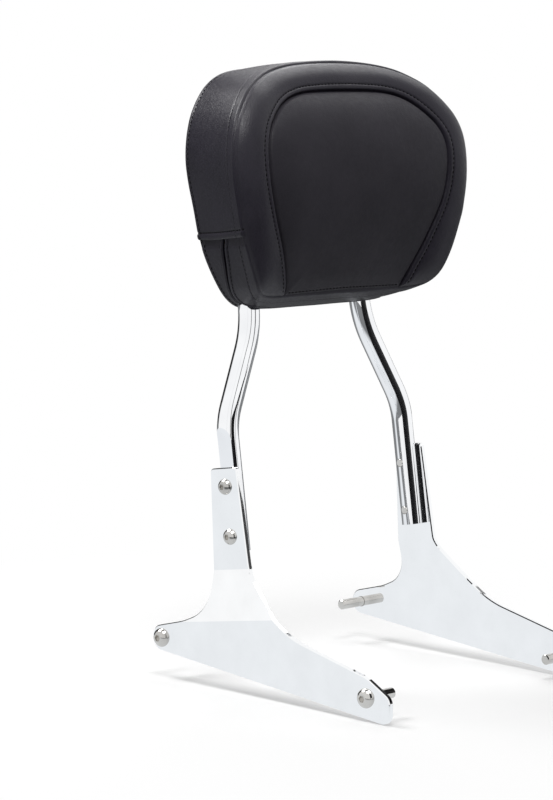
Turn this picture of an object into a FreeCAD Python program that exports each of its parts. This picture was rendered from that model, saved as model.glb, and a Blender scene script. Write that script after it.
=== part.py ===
"""Sissy bar with backrest pad for a motorcycle: a bent bar hoop on two joggled sideplates, and a sewn pad.

The frame has +X towards the machine's front, +Y to its left and +Z up. The origin is on the centre plane,
on the line through the two rear fender screws. Millimetres.
"""
import FreeCAD, Part
import math
import os
import Sketcher

Vector = FreeCAD.Vector
doc = FreeCAD.newDocument("sissy_bar")

# Driving sizes of the bar, the plates, the screws and the pad
SIZES = [
    ("lean_angle", 8.25, "lean of the hoop towards the rear, degrees"),
    ("hoop_x", 58.1, "forward place of the hoop's own zero point"),
    ("hoop_z", 229.6, "height of the hoop's own zero point"),
    ("bar_radius", 9.525, "radius of the round bar"),
    ("leg_half_spacing", 69.3, "bar centre to the middle, inside the pad"),
    ("foot_half_spacing", 109.5, "bar centre to the middle, at the feet"),
    ("upper_corner", 44.5, "height along the lean where the splay starts"),
    ("lower_corner", -35.7, "height along the lean where the splay ends"),
    ("upper_bend_radius", 90, "bend where the splay starts"),
    ("lower_bend_radius", 65, "bend where the splay ends"),
    ("hoop_top", 235, "height of the bar's centre at the top of the arch"),
    ("foot_end", -147, "lower end of each foot"),
    ("flat_offset", 4.7, "milled flat, out from the bar's centre"),
    ("flat_end", -52, "height where the flat begins to run out"),
    ("cutter_radius", 22, "radius of the flat's run-out"),
    ("upper_screw_height", -90.3, "upper foot screw, along the lean"),
    ("lower_screw_height", -133.6, "lower foot screw, along the lean"),
    ("plate_thickness", 4.8, "sideplate"),
    ("joggle", 10, "step outwards of the sideplate's lower part"),
    ("joggle_top", -161.9, "upper bend line of the sideplate, along the lean"),
    ("joggle_height", 44, "upper to lower bend line"),
    ("plate_bend_radius", 6, "inside radius of the sideplate's bends"),
    ("plate_edge_break", 0.8, "polished edge of the sideplate"),
    ("arm_top_gap", 16.3, "arm's top edge above the upper foot screw"),
    ("arm_rear_width", 16.5, "arm's rear edge behind the bar's centre, at the top"),
    ("arm_front_width", 15.6, "arm's front edge ahead of the bar's centre, at the top"),
    ("arm_corner_radius", 4, "corners of the arm's top"),
    ("arm_rear_x", 57.9, "arm's rear edge at the rear fillet"),
    ("rear_fillet_z", 31.6, "height of the rear fillet's corner"),
    ("rear_fillet_radius", 30, "rear fillet between arm and finger"),
    ("finger_slope", 0.25, "rise of the finger's upper edge"),
    ("finger_sweep_x", 28, "where the finger's upper edge starts to rise more"),
    ("finger_sweep_radius", 70, "sweep there"),
    ("finger_radius", 11.35, "round end of the rear finger"),
    ("edge_drop", 0.0899, "fall of the lower edge towards the front"),
    ("arm_front_x", 100.9, "arm's front edge at the front sweep"),
    ("arm_front_z", 67.5, "height of that corner"),
    ("arm_front_radius", 26, "rounding of that corner"),
    ("sweep_x", 151.4, "corner of the front sweep"),
    ("sweep_z", 23.1, "height of that corner"),
    ("sweep_radius", 100, "front sweep"),
    ("front_screw_x", 249.1, "front fender screw"),
    ("front_screw_z", -16.2, "height of the front fender screw"),
    ("shoulder_reach", 0.4, "where the nose starts to fall, ahead of the front screw"),
    ("shoulder_rise", 17, "height of that corner over the front screw"),
    ("shoulder_radius", 32, "rounding of that corner"),
    ("nose_reach", 27, "front end of the sideplate, ahead of the front screw"),
    ("nose_rise", 2.6, "height of the nose's upper corner over the front screw"),
    ("nose_radius", 9, "rounding of the nose's corners"),
    ("foot_screw_radius", 3.97, "plain shank of a foot screw"),
    ("foot_thread_radius", 3.75, "its thread, as a plain cylinder of about the mean radius"),
    ("foot_screw_length", 19, "length of a foot screw under its head"),
    ("foot_head_radius", 6.95, "head of a foot screw"),
    ("foot_head_height", 4.2, "height of that head"),
    ("foot_socket_width", 4.76, "hexagon socket of a foot screw, across flats"),
    ("fender_screw_radius", 4.76, "plain shank of a fender screw"),
    ("fender_thread_radius", 4.5, "its thread, as a plain cylinder of about the mean radius"),
    ("fender_screw_length", 31.8, "length of a fender screw under its head"),
    ("fender_head_radius", 8.33, "head of a fender screw"),
    ("fender_head_height", 5.05, "height of that head"),
    ("fender_socket_width", 5.56, "hexagon socket of a fender screw, across flats"),
    ("screw_hole_gap", 0.2, "clearance round a screw in its plain hole"),
    ("thread_gap", 0.03, "clearance round a screw in its tapped hole"),
    ("bracket_height", 30, "flat bar across the hoop"),
    ("bracket_thickness", 4, "thickness of that flat bar"),
    ("bracket_corner", 3, "rounding of its corners"),
    ("bracket_overhang", 6, "how far it passes the bar's centre"),
    ("upper_bracket", 190, "height of the upper flat bar, along the lean"),
    ("lower_bracket", 110, "height of the lower flat bar, along the lean"),
    ("pad_screw_spacing", 84, "the pad screws, side to side"),
    ("pad_screw_radius", 3.17, "plain shank of a pad screw"),
    ("pad_thread_radius", 2.95, "its thread, as a plain cylinder of about the mean radius"),
    ("pad_head_radius", 5.6, "head of a pad screw"),
    ("pad_head_height", 3.4, "height of that head"),
    ("pad_socket_width", 3.97, "hexagon socket of a pad screw, across flats"),
    ("washer_radius", 8, "washer under a pad screw's head"),
    ("washer_thickness", 1.2, "thickness of that washer"),
    ("tee_radius", 9.5, "flange of a tee nut"),
    ("tee_flange", 1.5, "thickness of that flange"),
    ("tee_wall", 1.1, "wall of its barrel"),
    ("board_thickness", 6, "base board in the pad"),
    ("board_inset", 6, "base board's edge in from the band"),
    ("pad_middle", 183, "height where the pad is widest"),
    ("pad_top", 267.6, "top of the pad at its front seam"),
    ("pad_rear_rise", 4.4, "top of the rear cover above that"),
    ("pad_bottom", 68.5, "bottom of the pad at its front seam"),
    ("pad_rear_drop", 8, "bottom of the rear cover below that"),
    ("pad_half_width", 142.8, "half the width at the front seam"),
    ("pad_rear_half_width", 113.5, "half the width at the rear cover"),
    ("pad_rear", -14, "rear seam, behind the bar's centre"),
    ("seam_crest", 78, "front seam ahead of the bar's centre, where it lies furthest forward"),
    ("seam_crest_height", 190, "height of that place"),
    ("seam_fall_top", 17, "how much further back the front seam lies at the pad's top"),
    ("seam_fall_bottom", 30, "and at its bottom"),
    ("upper_fullness", 2.35, "roundness exponent of the pad's upper half"),
    ("lower_fullness", 7, "roundness exponent of the pad's lower half"),
    ("lower_taper", 0.14, "how much narrower the pad is at its bottom, as a share"),
    ("roll_height", 10.5, "border roll ahead of the front seam"),
    ("crown_height", 15, "middle of the centre panel ahead of the front seam"),
    ("foot_rise_share", 0.15, "share of both that is left at the pad's bottom"),
    ("skin", 2, "padded vinyl skin"),
    ("sewn_gap", 0.3, "clearance between sewn pieces"),
    ("shield_half_width", 111.5, "half the width of the centre panel"),
    ("shield_widest", 183, "height where the centre panel is widest"),
    ("shield_top", 242.5, "top of the centre panel"),
    ("shield_top_half_width", 60, "half its width at the top corners"),
    ("shield_foot_half_width", 66, "half its width at the pad's bottom"),
    ("shield_shoulder_rise", 22, "its shoulder corner over its widest place"),
    ("shield_hip_drop", 31, "its hip corner below its widest place"),
    ("shield_hip_inset", 2, "how far that corner lies in from its half width"),
    ("shield_shoulder_radius", 50, "rounding of that corner"),
    ("shield_hip_radius", 108, "rounding of its hip corner"),
    ("shield_top_radius", 100, "rounding of its top corner"),
    ("hem_height", 122.5, "height of the band's hem, along the lean"),
    ("hem_gap", 1.2, "step between the band's hem and the pieces below it"),
    ("slot_hem_depth", 31, "middle of the slot at the hem, ahead of the bar's centre"),
    ("slot_knee_depth", 24, "middle of the slot at its knee"),
    ("slot_knee_height", 100, "height of the slot's knee"),
    ("slot_foot_depth", 2, "middle of the slot at the bottom"),
    ("slot_width", 4.5, "gap between the front lower band and the rear flap"),
    ("bar_gap", 0.8, "clearance of the pad's skin round the bar"),
    ("welt_height", 1, "raised strip along a seam, over the skin"),
    ("welt_inset", 0.6, "how far that strip keeps from its seam"),
    ("front_welt_width", 5, "raised strip along the front seam"),
    ("rear_piping_width", 3.2, "raised strip along the rear seam"),
]

sheet = doc.addObject("Spreadsheet::Sheet", "sizes")
for row, (word, value, note) in enumerate(SIZES, start=1):
    sheet.set("A%d" % row, str(value))
    sheet.setAlias("A%d" % row, word)
    sheet.set("B%d" % row, note)
doc.recompute()


def size(word):
    """A driving size from the sheet."""
    return float(sheet.get(word))


LEAN = math.radians(size("lean_angle"))
MADE = []


def from_hoop(depth, height):
    """The object's X and Z of a point given ahead of the hoop's plane and along its lean."""
    x = size("hoop_x") + depth * math.cos(LEAN) - height * math.sin(LEAN)
    z = size("hoop_z") + depth * math.sin(LEAN) + height * math.cos(LEAN)
    return x, z


def lean_back(piece):
    """Place a piece, modelled upright about the hoop's zero point, at the hoop's lean."""
    piece.Placement = FreeCAD.Placement(Vector(0, 0, 0), FreeCAD.Rotation(Vector(0, -1, 0), 1))
    piece.setExpression("Placement.Base.x", "sizes.hoop_x")
    piece.setExpression("Placement.Base.z", "sizes.hoop_z")
    piece.setExpression("Placement.Rotation.Angle", "sizes.lean_angle")


def new_body(name):
    """An empty body that becomes the piece called name."""
    body = doc.addObject("PartDesign::Body", name)
    body.Label = name
    MADE.append(body)
    return body


def new_sketch(body, role, name):
    """A sketch on one of the body's own origin planes."""
    plane = [feature for feature in body.Origin.OriginFeatures if feature.Role == role][0]
    sketch = body.newObject("Sketcher::SketchObject", name)
    sketch.AttachmentSupport = [(plane, "")]
    sketch.MapMode = "FlatFace"
    return sketch


def outline_edges(corners):
    """Lines and arcs round a closed outline of corners, each (x, y, radius)."""
    count = len(corners)
    ends = []
    for i, (x, y, radius) in enumerate(corners):
        here = Vector(x, y, 0)
        before = (Vector(*corners[i - 1][:2], 0) - here).normalize()
        after = (Vector(*corners[(i + 1) % count][:2], 0) - here).normalize()
        half = before.getAngle(after) / 2
        reach = radius / math.tan(half)
        middle = here
        if radius > 0:
            inward = (before + after).normalize()
            middle = here + inward * (radius / math.sin(half) - radius)
        ends.append((here + before * reach, middle, here + after * reach))
    edges = []
    for i, (start, middle, end) in enumerate(ends):
        if start.distanceToPoint(end) > 1e-6:
            edges.append(Part.Arc(start, middle, end))
        following = ends[(i + 1) % count][0]
        if end.distanceToPoint(following) > 1e-6:
            edges.append(Part.LineSegment(end, following))
    return edges


def draw_outline(sketch, corners):
    """Draw a closed outline in the sketch, joined end to end."""
    for edge in outline_edges(corners):
        sketch.addGeometry(edge)


def draw_circle(sketch, x, y, radius, expression):
    """Draw a circle whose radius follows the sheet."""
    index = sketch.addGeometry(Part.Circle(Vector(x, y, 0), Vector(0, 0, 1), radius))
    constraint = sketch.addConstraint(Sketcher.Constraint("Radius", index, radius))
    sketch.setExpression("Constraints[%d]" % constraint, expression)


def cut_through(body, sketch, name):
    """Cut the sketch's shape out of the body, both ways."""
    doc.recompute()
    before = body.Shape.Volume
    pocket = body.newObject("PartDesign::Pocket", name)
    pocket.Profile = sketch
    pocket.Type = "ThroughAll"
    pocket.SideType = "Symmetric"
    doc.recompute()
    if pocket.Shape.Volume > before - 0.01:
        raise RuntimeError("nothing cut by " + name)
    return pocket


# The hoop: a round bar bent to an arch, splayed to the feet, milled flat and tapped

def hoop_path():
    """The bar's centre line from the right foot over the arch to the left foot, in the hoop's plane."""
    wide = size("foot_half_spacing")
    narrow = size("leg_half_spacing")
    top = size("hoop_top")
    chain = []
    for sign in (-1, 1):
        points = [(wide, size("foot_end"), 0),
                  (wide, size("lower_corner"), size("lower_bend_radius")),
                  (narrow, size("upper_corner"), size("upper_bend_radius")),
                  (narrow, top - narrow, 0)]
        chain.append([(sign * x, y, radius) for x, y, radius in points])
    legs = []
    for points in chain:
        leg = []
        start = Vector(points[0][0], points[0][1], 0)
        for i in (1, 2):
            here = Vector(points[i][0], points[i][1], 0)
            before = (Vector(points[i - 1][0], points[i - 1][1], 0) - here).normalize()
            after = (Vector(points[i + 1][0], points[i + 1][1], 0) - here).normalize()
            half = before.getAngle(after) / 2
            reach = points[i][2] / math.tan(half)
            middle = here + (before + after).normalize() * (points[i][2] / math.sin(half) - points[i][2])
            leg.append(Part.LineSegment(start, here + before * reach))
            leg.append(Part.Arc(here + before * reach, middle, here + after * reach))
            start = here + after * reach
        leg.append(Part.LineSegment(start, Vector(points[3][0], points[3][1], 0)))
        legs.append(leg)
    arch = Part.Arc(Vector(-narrow, top - narrow, 0), Vector(0, top, 0), Vector(narrow, top - narrow, 0))
    return legs[0] + [arch] + legs[1]


def make_hoop():
    hoop = new_body("upright_hoop")
    lean_back(hoop)
    spine = new_sketch(hoop, "YZ_Plane", "hoop_centre_line")
    for edge in hoop_path():
        spine.addGeometry(edge)
    section = new_sketch(hoop, "XY_Plane", "bar_section")
    section.setExpression("AttachmentOffset.Base.z", "sizes.foot_end")
    draw_circle(section, 0, -size("foot_half_spacing"), size("bar_radius"), "sizes.bar_radius")
    doc.recompute()
    bar = hoop.newObject("PartDesign::AdditivePipe", "bent_bar")
    bar.Profile = section
    bar.Spine = spine
    doc.recompute()

    flat = size("foot_half_spacing") + size("flat_offset")
    below = size("foot_end") - size("bar_radius")
    radius = size("cutter_radius")
    milling = new_sketch(hoop, "YZ_Plane", "flat_outline")
    for sign in (-1, 1):
        near = sign * flat
        far = sign * (flat + radius)
        start = Vector(near, size("flat_end"), 0)
        turned = Vector(sign * (flat + radius * (1 - math.cos(math.pi / 4))),
                        size("flat_end") + radius * math.sin(math.pi / 4), 0)
        tip = Vector(far, size("flat_end") + radius, 0)
        milling.addGeometry(Part.LineSegment(Vector(near, below, 0), start))
        milling.addGeometry(Part.Arc(start, turned, tip))
        milling.addGeometry(Part.LineSegment(tip, Vector(far, below, 0)))
        milling.addGeometry(Part.LineSegment(Vector(far, below, 0), Vector(near, below, 0)))
    cut_through(hoop, milling, "milled_flats")

    tapping = new_sketch(hoop, "XZ_Plane", "tapped_holes")
    for word in ("upper_screw_height", "lower_screw_height"):
        draw_circle(tapping, 0, size(word), size("foot_thread_radius") + size("thread_gap"),
                    "sizes.foot_thread_radius + sizes.thread_gap")
    cut_through(hoop, tapping, "tapping")


# The sideplates: joggled plates, trimmed to their outline

def plate_outline():
    """Corners of the sideplate seen from the side, in X and Z."""
    top = size("upper_screw_height") + size("arm_top_gap")
    top_rear = from_hoop(-size("arm_rear_width"), top)
    top_front = from_hoop(size("arm_front_width"), top)
    radius = size("finger_radius")
    slope = size("finger_slope")
    drop = size("edge_drop")
    finger_line = radius * math.hypot(1, slope)
    lower_line = -radius * math.hypot(1, drop)
    sweep_x = size("finger_sweep_x")
    screw_x = size("front_screw_x")
    screw_z = size("front_screw_z")
    nose = screw_x + size("nose_reach")
    return [
        (top_rear[0], top_rear[1], size("arm_corner_radius")),
        (top_front[0], top_front[1], size("arm_corner_radius")),
        (size("arm_front_x"), size("arm_front_z"), size("arm_front_radius")),
        (size("sweep_x"), size("sweep_z"), size("sweep_radius")),
        (screw_x + size("shoulder_reach"), screw_z + size("shoulder_rise"), size("shoulder_radius")),
        (nose, screw_z + size("nose_rise"), size("nose_radius")),
        (nose, lower_line - drop * nose, size("nose_radius")),
        (-radius, lower_line + drop * radius, radius * 0.999),
        (-radius, finger_line - slope * radius, radius * 0.999),
        (sweep_x, finger_line + slope * sweep_x, size("finger_sweep_radius")),
        (size("arm_rear_x"), size("rear_fillet_z"), size("rear_fillet_radius")),
    ]


def plate_section(side):
    """Corners of the bent plate seen from behind, across and along the lean."""
    thick = size("plate_thickness")
    inner = size("foot_half_spacing") + size("flat_offset")
    high = size("upper_screw_height") + 4 * size("arm_top_gap")
    upper = size("joggle_top")
    lower = upper - size("joggle_height")
    low = lower - 4 * size("joggle_height")
    turn = math.atan(size("joggle") / size("joggle_height"))
    drop = thick * math.tan(turn / 2)
    tight = size("plate_bend_radius")
    wide = tight + thick
    step = size("joggle")
    corners = [
        (inner + thick, high, 0), (inner + thick, upper, tight), (inner + thick + step, lower, wide),
        (inner + thick + step, low, 0), (inner + step, low, 0), (inner + step, lower - drop, tight),
        (inner, upper - drop, wide), (inner, high, 0),
    ]
    return [(side * across, along, radius) for across, along, radius in corners]


def rim_edges(shape):
    """Names of the edges between a broad face and the rim, leaving out the holes' full circles."""
    broad = []
    rim = []
    for face in shape.Faces:
        low_u, high_u, low_v, high_v = face.ParameterRange
        normal = face.normalAt((low_u + high_u) / 2, (low_v + high_v) / 2)
        if abs(normal.y) > 0.9:
            broad.append(face)
        elif all(len(edge.Vertexes) > 1 for edge in face.Edges):
            rim.append(face)
    names = []
    for index, edge in enumerate(shape.Edges, start=1):
        on_broad = any(edge.isSame(other) for face in broad for other in face.Edges)
        on_rim = any(edge.isSame(other) for face in rim for other in face.Edges)
        if on_broad and on_rim:
            names.append("Edge%d" % index)
    return names


def make_sideplate(name, side):
    plate = new_body(name)
    bent = new_sketch(plate, "YZ_Plane", name + "_section")
    bent.AttachmentOffset = FreeCAD.Placement(Vector(0, 0, 0), FreeCAD.Rotation(Vector(-1, 0, 0), 1))
    bent.setExpression("AttachmentOffset.Base.y", "sizes.hoop_z")
    bent.setExpression("AttachmentOffset.Base.z", "sizes.hoop_x")
    bent.setExpression("AttachmentOffset.Rotation.Angle", "sizes.lean_angle")
    draw_outline(bent, plate_section(side))
    doc.recompute()
    sheet_pad = plate.newObject("PartDesign::Pad", name + "_sheet")
    sheet_pad.Profile = bent
    sheet_pad.SideType = "Symmetric"
    sheet_pad.setExpression("Length", "4 * sizes.front_screw_x")
    doc.recompute()

    trim = new_sketch(plate, "XZ_Plane", name + "_outline")
    draw_outline(trim, plate_outline())
    far = 4 * size("front_screw_x")
    draw_outline(trim, [(-far, -far, 0), (far, -far, 0), (far, far, 0), (-far, far, 0)])
    cut_through(plate, trim, name + "_trim")

    holes = new_sketch(plate, "XZ_Plane", name + "_holes")
    for word in ("upper_screw_height", "lower_screw_height"):
        x, z = from_hoop(0, size(word))
        draw_circle(holes, x, z, size("foot_screw_radius") + size("screw_hole_gap"),
                    "sizes.foot_screw_radius + sizes.screw_hole_gap")
    for x, z in ((0, 0), (size("front_screw_x"), size("front_screw_z"))):
        draw_circle(holes, x, z, size("fender_screw_radius") + size("screw_hole_gap"),
                    "sizes.fender_screw_radius + sizes.screw_hole_gap")
    drilled = cut_through(plate, holes, name + "_drilling")

    broken = plate.newObject("PartDesign::Chamfer", name + "_edges")
    broken.Base = (drilled, rim_edges(drilled.Shape))
    broken.setExpression("Size", "sizes.plate_edge_break")
    doc.recompute()


# The screws: button heads with a hexagon socket, turned about their own Z axis

def button_profile(kind, plain, length):
    """Half section of a button head screw, its head's seat at zero, its plain shank and thread below."""
    shank = size(kind + "_screw_radius")
    thread = size(kind + "_thread_radius")
    head = size(kind + "_head_radius")
    height = size(kind + "_head_height")
    crown = 0.52 * head
    rim = 0.14 * height
    bulge = Vector(0.83 * head, 0.66 * height, 0)
    tip = 0.18 * thread
    return [
        Part.LineSegment(Vector(0, height, 0), Vector(crown, height, 0)),
        Part.Arc(Vector(crown, height, 0), bulge, Vector(head, rim, 0)),
        Part.LineSegment(Vector(head, rim, 0), Vector(head, 0, 0)),
        Part.LineSegment(Vector(head, 0, 0), Vector(shank, 0, 0)),
        Part.LineSegment(Vector(shank, 0, 0), Vector(shank, -plain, 0)),
        Part.LineSegment(Vector(shank, -plain, 0), Vector(thread, -plain, 0)),
        Part.LineSegment(Vector(thread, -plain, 0), Vector(thread, tip - length, 0)),
        Part.LineSegment(Vector(thread, tip - length, 0), Vector(thread - tip, -length, 0)),
        Part.LineSegment(Vector(thread - tip, -length, 0), Vector(0, -length, 0)),
        Part.LineSegment(Vector(0, -length, 0), Vector(0, height, 0)),
    ]


def make_screw(name, kind, plain, length, seat, direction):
    """A screw whose head seats at the point and stands out along the direction."""
    screw = new_body(name)
    turned = new_sketch(screw, "XZ_Plane", name + "_profile")
    for edge in button_profile(kind, plain, length):
        turned.addGeometry(edge)
    doc.recompute()
    shape = screw.newObject("PartDesign::Revolution", name + "_turned")
    shape.Profile = turned
    shape.ReferenceAxis = (turned, ["V_Axis"])
    shape.Angle = 360
    doc.recompute()
    before = shape.Shape.Volume

    socket = new_sketch(screw, "XY_Plane", name + "_hexagon")
    socket.setExpression("AttachmentOffset.Base.z", "sizes.%s_head_height" % kind)
    corner = size(kind + "_socket_width") / math.sqrt(3)
    ring = [(corner * math.cos(math.radians(60 * i)), corner * math.sin(math.radians(60 * i)), 0)
            for i in range(6)]
    draw_outline(socket, ring)
    pocket = screw.newObject("PartDesign::Pocket", name + "_socket")
    pocket.Profile = socket
    pocket.setExpression("Length", "0.62 * sizes.%s_head_height" % kind)
    doc.recompute()
    if pocket.Shape.Volume > before - 0.01:
        raise RuntimeError("no socket in " + name)
    turn = FreeCAD.Rotation(Vector(0, 0, 1), direction)
    screw.Placement = FreeCAD.Placement(seat, turn)


# The parts inside the pad: flat bars across the hoop, board, screws, washers and tee nuts

def plain_part(name, shape):
    """A piece whose shape is built directly, upright about the hoop's zero point, then leaned back."""
    piece = doc.addObject("Part::Feature", name)
    piece.Label = name
    piece.Shape = shape
    lean_back(piece)
    MADE.append(piece)
    return piece


def disc(depth, across, height, radius, thickness):
    """A disc or rod that starts at the depth and runs forward."""
    return Part.makeCylinder(radius, thickness, Vector(depth, across, height), Vector(1, 0, 0))


def pad_screw_places():
    half = size("pad_screw_spacing") / 2
    return [(side * half, size(level + "_bracket"), hand + "_" + level)
            for level in ("upper", "lower") for side, hand in ((-1, "right"), (1, "left"))]


def make_brackets():
    for level in ("upper", "lower"):
        bracket = new_body(level + "_pad_bracket")
        lean_back(bracket)
        face = new_sketch(bracket, "YZ_Plane", level + "_bracket_face")
        face.setExpression("AttachmentOffset.Base.z", "sizes.bar_radius")
        half = size("leg_half_spacing") + size("bracket_overhang")
        middle = size(level + "_bracket")
        rise = size("bracket_height") / 2
        corner = size("bracket_corner")
        draw_outline(face, [(-half, middle - rise, corner), (half, middle - rise, corner),
                            (half, middle + rise, corner), (-half, middle + rise, corner)])
        for side in (-1, 1):
            draw_circle(face, side * size("pad_screw_spacing") / 2, middle,
                        size("pad_screw_radius") + size("screw_hole_gap"),
                        "sizes.pad_screw_radius + sizes.screw_hole_gap")
        pad = bracket.newObject("PartDesign::Pad", level + "_bracket_plate")
        pad.Profile = face
        pad.setExpression("Length", "sizes.bracket_thickness")
        doc.recompute()


def seam_depth(height):
    """How far the front seam lies ahead of the bar's centre at a height along the lean."""
    crest = size("seam_crest_height")
    if height > crest:
        share = min((height - crest) / (size("pad_top") - crest), 1)
        return size("seam_crest") - size("seam_fall_top") * share ** 2
    share = min((crest - height) / (crest - size("pad_bottom")), 1)
    return size("seam_crest") - size("seam_fall_bottom") * share ** 3


def seam_share(depth):
    """A depth as a share of the way from the rear seam to the furthest point of the front seam."""
    return (depth - size("pad_rear")) / (size("seam_crest") - size("pad_rear"))


def pad_outline(share, inset):
    """Even points round the pad's outline, across and along: round above its middle, fuller below.

    The share runs from 0 for the outline of the rear seam to 1 for that of the front seam.
    """
    half = size("pad_rear_half_width")
    half += share * (size("pad_half_width") - half) - inset
    middle = size("pad_middle")
    above = size("pad_top") - middle + size("pad_rear_rise") * (1 - share) - inset
    below = middle - size("pad_bottom") + size("pad_rear_drop") * (1 - share) - inset
    steps = 720
    dense = []
    for i in range(steps + 1):
        turn = 2 * math.pi * i / steps
        upper = math.sin(turn) >= 0
        power = 2 / (size("upper_fullness") if upper else size("lower_fullness"))
        rise = abs(math.sin(turn)) ** power
        across = half * math.copysign(abs(math.cos(turn)) ** power, math.cos(turn))
        if not upper:
            across *= 1 - size("lower_taper") * rise
        dense.append((across, middle + (above * rise if upper else -below * rise)))
    run = [0]
    for start, end in zip(dense, dense[1:]):
        run.append(run[-1] + math.dist(start, end))
    count = 44
    points = []
    place = 0
    for i in range(count):
        mark = run[-1] * i / count
        while run[place + 1] <= mark:
            place += 1
        part = (mark - run[place]) / (run[place + 1] - run[place])
        start, end = dense[place], dense[place + 1]
        points.append((start[0] + part * (end[0] - start[0]), start[1] + part * (end[1] - start[1])))
    return points


def pad_ring(depth_at, share, inset):
    """The pad's outline as a closed curve, at the depth for each height."""
    curve = Part.BSplineCurve()
    curve.interpolate([Vector(depth_at(height), across, height)
                       for across, height in pad_outline(share, inset)], PeriodicFlag=True)
    return Part.Wire(curve.toShape())


def flat_ring(depth, share, inset):
    """The pad's outline in one plane across the bar's lean."""
    return pad_ring(lambda height: depth, share, inset)


def pad_body(inset):
    """The pad's tapering sides, carried on straight ahead past the front seam."""
    ahead = size("seam_crest") + size("crown_height")
    return Part.makeLoft([flat_ring(size("pad_rear"), 0, inset), pad_ring(seam_depth, 1, inset),
                          flat_ring(ahead, 1, inset)], True, True)


def ahead_of_seam(offset):
    """Everything ahead of the front seam's curve, moved by an offset."""
    reach = 2 * size("pad_half_width")
    low = size("pad_bottom") - size("bar_radius")
    high = size("pad_top") + size("bar_radius")
    steps = 14
    line = [low + (high - low) * i / steps for i in range(steps + 1)]
    curve = Part.BSplineCurve()
    curve.interpolate([Vector(seam_depth(height) + offset, -reach, height) for height in line])
    far = [Vector(reach, -reach, high), Vector(reach, -reach, low)]
    closing = Part.makePolygon([curve.EndPoint] + far + [curve.StartPoint])
    face = Part.Face(Part.Wire([curve.toShape()] + closing.Edges))
    return face.extrude(Vector(0, 2 * reach, 0))


def rise_share(height):
    """Share of the roll and crown that the pad's face keeps at a height: all of it above the middle."""
    low = size("pad_bottom")
    share = max(0, min((height - low) / (size("pad_middle") - low), 1))
    foot = size("foot_rise_share")
    return foot + (1 - foot) * share * share * (3 - 2 * share)


def dome_rings(inset):
    """Outlines up the crowned front of the pad, from its front seam, all set in by an inset."""
    roll = size("roll_height")
    crown = size("crown_height")

    def face_depth(rise):
        return lambda height: seam_depth(height) + rise * rise_share(height) - inset

    rings = [pad_ring(face_depth(0), 1, inset)]
    for rise, inward in ((0.45 * roll, 1.5), (0.8 * roll, 6), (roll, 14), (0.5 * (roll + crown), 34)):
        rings.append(pad_ring(face_depth(rise), 1, inset + inward))

    # The last outline lies in one tilted plane, so that a flat face can close the form
    last = 62 + inset
    low = size("pad_bottom") + last
    high = size("pad_top") - last
    bottom, top = face_depth(crown)(low), face_depth(crown)(high)
    rings.append(pad_ring(lambda height: bottom + (top - bottom) * (height - low) / (high - low), 1, last))
    return rings


def dome(inset):
    """The pad's crowned front, carried on straight back behind the front seam."""
    behind = size("seam_crest") - 2 * size("seam_fall_bottom")
    return Part.makeLoft([flat_ring(behind, 1, inset)] + dome_rings(inset), True, True)


def shield(inset):
    """A prism through the pad in the shape of the centre panel, less an inset."""
    wide = size("shield_half_width") - inset
    foot = size("shield_foot_half_width") - inset
    hip = wide - size("shield_hip_inset")
    corner = size("shield_top_half_width") - inset / 2
    top = size("shield_top") - inset
    shoulder = size("shield_widest") + size("shield_shoulder_rise")
    waist = size("shield_widest") - size("shield_hip_drop")
    bottom = size("pad_bottom") - size("bar_radius")
    half = [(foot, bottom, 0), (hip, waist, size("shield_hip_radius")),
            (wide, shoulder, size("shield_shoulder_radius")), (corner, top, size("shield_top_radius"))]
    corners = half + [(-across, height, radius) for across, height, radius in half[::-1]]
    edges = [edge.toShape() for edge in outline_edges(corners)]
    wire = Part.Wire(Part.__sortEdges__(edges))
    face = Part.Face(wire)
    face.Placement = FreeCAD.Placement(Vector(0, 0, 0), FreeCAD.Rotation(Vector(1, 1, 1), 120))
    return face.extrude(Vector(2 * size("pad_half_width"), 0, 0))


def slot_line(offset):
    """Depth and height of the points down the middle of the slot, moved forward by an offset."""
    return [(size("slot_hem_depth") + offset, size("pad_top")),
            (size("slot_hem_depth") + offset, size("hem_height")),
            (size("slot_knee_depth") + offset, size("slot_knee_height")),
            (size("slot_foot_depth") + offset,
             size("pad_bottom") - size("pad_rear_drop") - size("bar_radius"))]


def behind_slot(offset):
    """Everything behind the slot's line, moved by an offset."""
    reach = 2 * size("pad_half_width")
    line = slot_line(offset)
    points = [(-reach, line[0][1])] + line + [(-reach, line[-1][1])]
    corners = [Vector(depth, -reach, height) for depth, height in points]
    face = Part.Face(Part.makePolygon(corners + corners[:1]))
    return face.extrude(Vector(0, 2 * reach, 0))


def below_hem(offset):
    """Everything below the hem's height, moved by an offset."""
    reach = 2 * size("pad_half_width")
    deep = 2 * size("hem_height")
    base = Vector(-reach, -reach, size("hem_height") + offset - deep)
    return Part.makeBox(2 * reach, 2 * reach, deep, base)


def legs_with_gap(gap):
    """Two upright rods round the hoop's legs where they leave the pad."""
    radius = size("bar_radius") + gap
    return [Part.makeCylinder(radius, size("pad_top"), Vector(0, side * size("leg_half_spacing"), 0))
            for side in (-1, 1)]


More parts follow.
